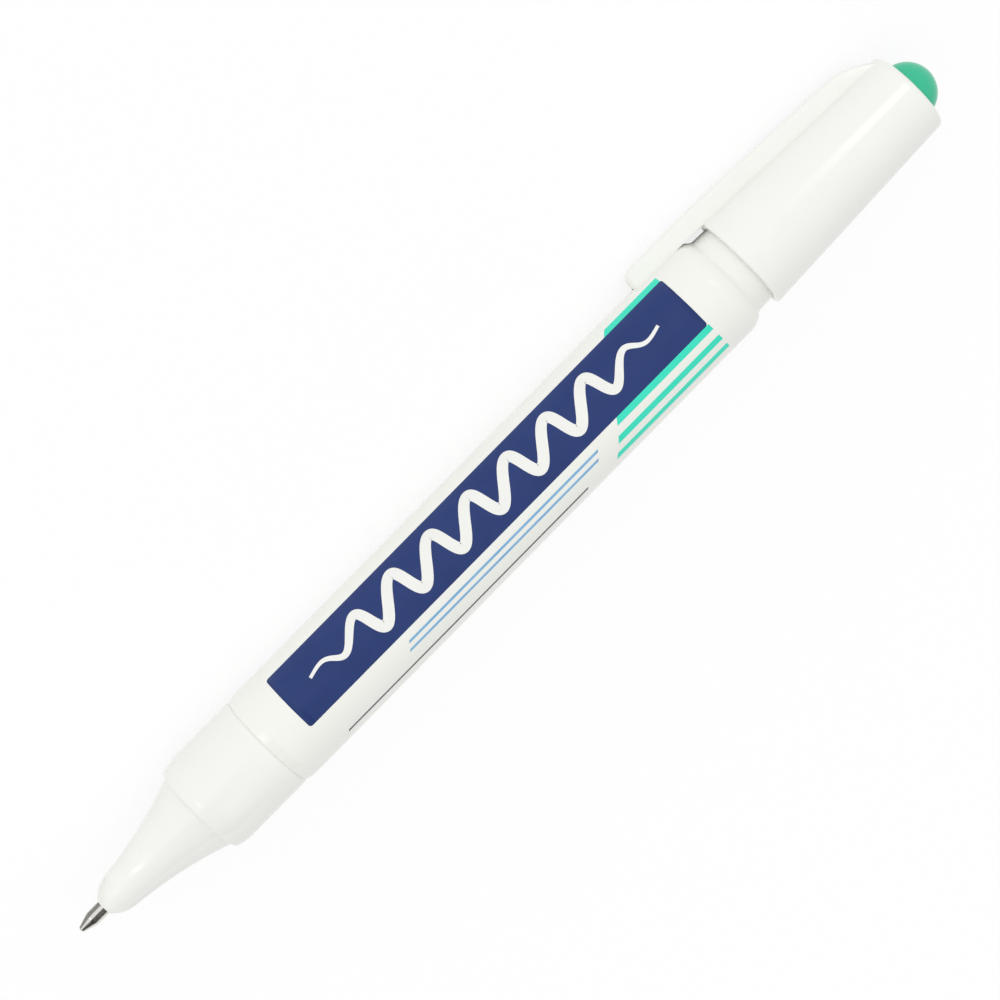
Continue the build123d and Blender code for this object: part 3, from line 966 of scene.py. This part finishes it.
def clip_section(x):
    """Half of the clip's outline across the pen, from under its middle round to the top of its middle."""
    top = clip_top(x)
    half = clip_half_width(x)
    rooted = eased((clip_root_x + clip_web - x) / clip_web)
    joined = eased((clip_root_x - x) / clip_root_length)
    bed = clip_bed(x)

    def seat(aside, gap=0):
        return sqrt((bed + gap) ** 2 - aside**2)

    crown = clip_crown + joined * (bed - seat(half) - clip_crown)
    wall = max(top - crown - seat(half), clip_least_wall)
    largest_round = wall / 3
    edge = min(clip_edge, largest_round)
    grown = eased((clip_free_x - x) / clip_plan_round)
    flare = min(clip_flare * (clip_end_flare_share + (1 - clip_end_flare_share) * grown), largest_round)
    foot = half + flare

    points = []
    for k in range(clip_hollow_steps):
        share = k / clip_hollow_steps
        aside = foot * share
        hollow = seat(aside, clip_gap * (1 - share**2))
        points.append((aside, hollow + (seat(aside) - clip_sink - hollow) * rooted))
    for k in range(clip_flare_steps + 1):
        turn = k / clip_flare_steps * pi / 2
        aside = foot - flare * sin(turn)
        points.append((aside, seat(aside) - clip_foot_sink * rooted + flare * (1 - cos(turn))))
    flat = half - edge
    for k in range(clip_edge_steps + 1):
        turn = k / clip_edge_steps * pi / 2
        aside = flat + edge * cos(turn)
        points.append((aside, top - edge * (1 - sin(turn)) - crown * (min(aside, flat) / half) ** 2))
    for k in range(1, clip_top_steps + 1):
        aside = flat * (1 - k / clip_top_steps)
        points.append((aside, top - crown * (aside / half) ** 2))
    return points


clip_stations = []
for k in range(clip_end_steps + 1):
    clip_stations.append(clip_free_x - clip_end_round * (1 - cos(k / clip_end_steps * pi / 2)))
clip_run = clip_stations[-1] - clip_root_end_x
clip_stations += [clip_stations[-1] - clip_run * k / clip_steps for k in range(1, clip_steps + 1)]

clip_outlines = []
for x in clip_stations:
    half_outline = clip_section(x)
    whole = half_outline + [(-aside, out) for aside, out in reversed(half_outline[1:-1])]
    clip_outlines.append([Vector((x, 0, 0)) + clip_way * out + clip_side * aside for aside, out in whole])
cap_clip = lofted("cap_clip", clip_outlines, clip_sharp_angle)
cap_clip.data.materials.append(cap_plastic)
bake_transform(cap_clip)
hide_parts("pocket_clip")

# Inner cap and tip seal
# A natural polyethylene sleeve pressed into the cap, which closes round the nose when the pen is capped,
# and a soft dark rubber pad on the end plug's stem, which meets the ball.

frame["nodes"]["inner_cap"].data.materials[0] = seal_plastic
seal_rubber = surfaced(
    "seal_rubber",
    moulded,
    {"Colour": (0.022, 0.022, 0.024, 1), "Shade": (0.035, 0.035, 0.036, 1), "Gloss": 0.62, "Handling": 0.4},
    bump_strength=0.3,
    bump_depth=0.03 * MM,
    shader={"IOR": 1.52},
)
frame["nodes"]["tip_seal"].data.materials[0] = seal_rubber

# End plug
# The green button in the cap's end, moulded in a coloured plastic and glossy, with a stem that is
# pressed through the cap's end wall.

dome_centre_x = cap_end_x + dome_sink
stem_end_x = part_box("end_plug")[1].x
plug_outline = [(dome_centre_x - dome_radius, 0)]
plug_outline += arc((dome_centre_x - dome_radius, 0), (cap_end_x, dome_base_radius), (0, 1), steps=28)
plug_outline += [
    (cap_end_x + dome_recess, dome_base_radius),
    (cap_end_x + dome_recess, stem_radius),
    (stem_end_x, stem_radius),
    (stem_end_x, 0),
]
end_button = turned("end_button", plug_outline, sides=160)
plug_plastic = surfaced(
    "plug_plastic",
    moulded,
    {"Colour": (0.026, 0.53, 0.3, 1), "Shade": (0.02, 0.5, 0.275, 1), "Gloss": 0.2, "Handling": 0.5},
    bump_strength=0.1,
    bump_depth=0.02 * MM,
    shader={"IOR": 1.5},
)
end_button.data.materials.append(plug_plastic)
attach(end_button, "cap")
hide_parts("end_plug")

# Table
# A plain white table that the pen lies on, on its barrel and on the clip's edge.
# It shows white to the camera and in reflections, and keeps the pen's soft shadow.

table_half = 1.5
table_gap = 0.01 * MM
table_strength = 1.035
table_whiteness = 0.8
table_z = cad_box[0].z - table_gap


def sheet(name, middle, length, breadth):
    """A flat four-cornered sheet from its middle and two half sides."""
    form = bmesh.new()
    corners = ((-1, -1), (1, -1), (1, 1), (-1, 1))
    form.faces.new([form.verts.new(middle + length * x + breadth * y) for x, y in corners])
    return finished(name, form)


table = sheet("table", Vector((0, 0, table_z)), Vector((table_half, 0, 0)), Vector((0, table_half, 0)))
table_white = bpy.data.materials.new("table_white")
table_white.use_nodes = True
tree = table_white.node_tree
paper = tree.nodes["Principled BSDF"]
paper.inputs["Base Color"].default_value = (0.9, 0.9, 0.9, 1)
paper.inputs["Roughness"].default_value = 0.9
paper.inputs["Specular IOR Level"].default_value = 0.0


def seen_as_background(tree):
    """Where a ray from the camera, a reflection or a see-through surface looks."""
    rays = node(tree, "ShaderNodeLightPath").outputs
    direct = maths(tree, "MAXIMUM", rays["Is Camera Ray"], rays["Is Glossy Ray"])
    return maths(tree, "MAXIMUM", direct, rays["Is Transmission Ray"])


white_light = node(tree, "ShaderNodeEmission", Color=(1, 1, 1, 1), Strength=table_strength)
whitened = maths(tree, "MULTIPLY", seen_as_background(tree), table_whiteness)
table_mix = node(tree, "ShaderNodeMixShader", _0=whitened, _1=paper.outputs[0], _2=white_light.outputs[0])
tree.links.new(table_mix.outputs[0], tree.nodes["Material Output"].inputs["Surface"])
table.data.materials.append(table_white)

# Studio light
# A bright tent of light, strongest in front of the printed side and weakest behind it, with two small
# soft lamps beside the camera for the highlights and two cards that the metal point reflects.

tent_front_rise = radians(25)
tent_weakest = 0.41
tent_strongest = 1.205

world = bpy.data.worlds.new("tent")
bpy.context.scene.world = world
world.use_nodes = True
tree = world.node_tree
tent = tree.nodes["Background"]
tent_front = (print_facing * cos(tent_front_rise) + print_upward * sin(tent_front_rise)).normalized()
outward = node(tree, "ShaderNodeTexCoord").outputs["Generated"]
facing = node(tree, "ShaderNodeVectorMath", {"operation": "DOT_PRODUCT"}, _0=outward, _1=tent_front)
level = ranged(tree, facing.outputs["Value"], -1, 1, low=tent_weakest, high=tent_strongest)
tree.links.new(level, tent.inputs["Strength"])
tent.inputs["Color"].default_value = (1, 1, 1, 1)
tent_white = node(tree, "ShaderNodeBackground", Color=(1, 1, 1, 1), Strength=1.0)
tent_mix = node(
    tree, "ShaderNodeMixShader", _0=seen_as_background(tree), _1=tent.outputs[0], _2=tent_white.outputs[0]
)
tree.links.new(tent_mix.outputs[0], tree.nodes["World Output"].inputs["Surface"])

view_from_tip = 74.0 * MM
view_rise = 0.45 * MM
view_centre = Vector((tip_front_x - view_from_tip, 0, 0)) + print_upward * view_rise
to_cap = Vector((-1, 0, 0))

# Each lamp's place along the pen and upward from the view's centre, its length, breadth and power
lamp_distance = 0.45
lamp_axes = Matrix((to_cap, print_upward, print_facing)).transposed().to_4x4()
for name, along, upward, length, breadth, power in (
    ("cap_lamp", 0.172, 0.09, 0.038, 0.15, 0.06),
    ("nose_lamp", -0.298, 0.118, 0.021, 0.2, 0.068),
):
    lamp_data = bpy.data.lights.new(name, "AREA")
    lamp_data.shape = "RECTANGLE"
    lamp_data.size = length
    lamp_data.size_y = breadth
    lamp_data.energy = power
    lamp = bpy.data.objects.new(name, lamp_data)
    lamp.visible_diffuse = False
    bpy.context.scene.collection.objects.link(lamp)
    lamp_place = view_centre + print_facing * lamp_distance + print_upward * upward + to_cap * along
    lamp.matrix_world = Matrix.Translation(lamp_place) @ lamp_axes

# Each card's angle round the pen, its distance and half width, its two ends along the pen and its tone
for name, turn, distance, half_width, near_x, far_x, tone in (
    ("dark_card", radians(-48), 0.3, 0.285, 0.045, 0.42, 0.02),
    ("grey_card", radians(81), 0.006, 0.0044, 0.027, 0.045, 0.4),
):
    card_way = print_facing * cos(turn) + print_upward * sin(turn)
    card_across = print_upward * cos(turn) - print_facing * sin(turn)
    card_middle = Vector(((near_x + far_x) / 2, 0, 0)) + card_way * distance
    card_length = Vector(((far_x - near_x) / 2, 0, 0))
    card = sheet(name, card_middle, card_length, card_across * half_width)
    card_paper = bpy.data.materials.new(name)
    card_paper.use_nodes = True
    card_skin = card_paper.node_tree.nodes["Principled BSDF"]
    card_skin.inputs["Base Color"].default_value = (tone, tone, tone, 1)
    card_skin.inputs["Roughness"].default_value = 1.0
    card.data.materials.append(card_paper)
    card.visible_camera = False
    card.visible_diffuse = False
    card.visible_shadow = False
    card.visible_transmission = False

# Camera
# At the photograph's angle: square to the pen's axis, over the printed side, and rolled so that the pen
# runs from the lower left to the upper right of the picture.

view_distance = 431 * MM
view_lens = 126
view_roll = radians(45.4)
view_nearest = 0.01
picture_right = to_cap * cos(view_roll) - print_upward * sin(view_roll)
picture_up = to_cap * sin(view_roll) + print_upward * cos(view_roll)
camera_data = bpy.data.cameras.new("camera")
camera_data.lens = view_lens
camera_data.clip_start = view_nearest
camera = bpy.data.objects.new("camera", camera_data)
bpy.context.scene.collection.objects.link(camera)
camera_axes = Matrix((picture_right, picture_up, print_facing)).transposed().to_4x4()
camera.matrix_world = Matrix.Translation(view_centre + print_facing * view_distance) @ camera_axes
bpy.context.scene.camera = camera

bpy.context.scene.view_settings.view_transform = "Standard"
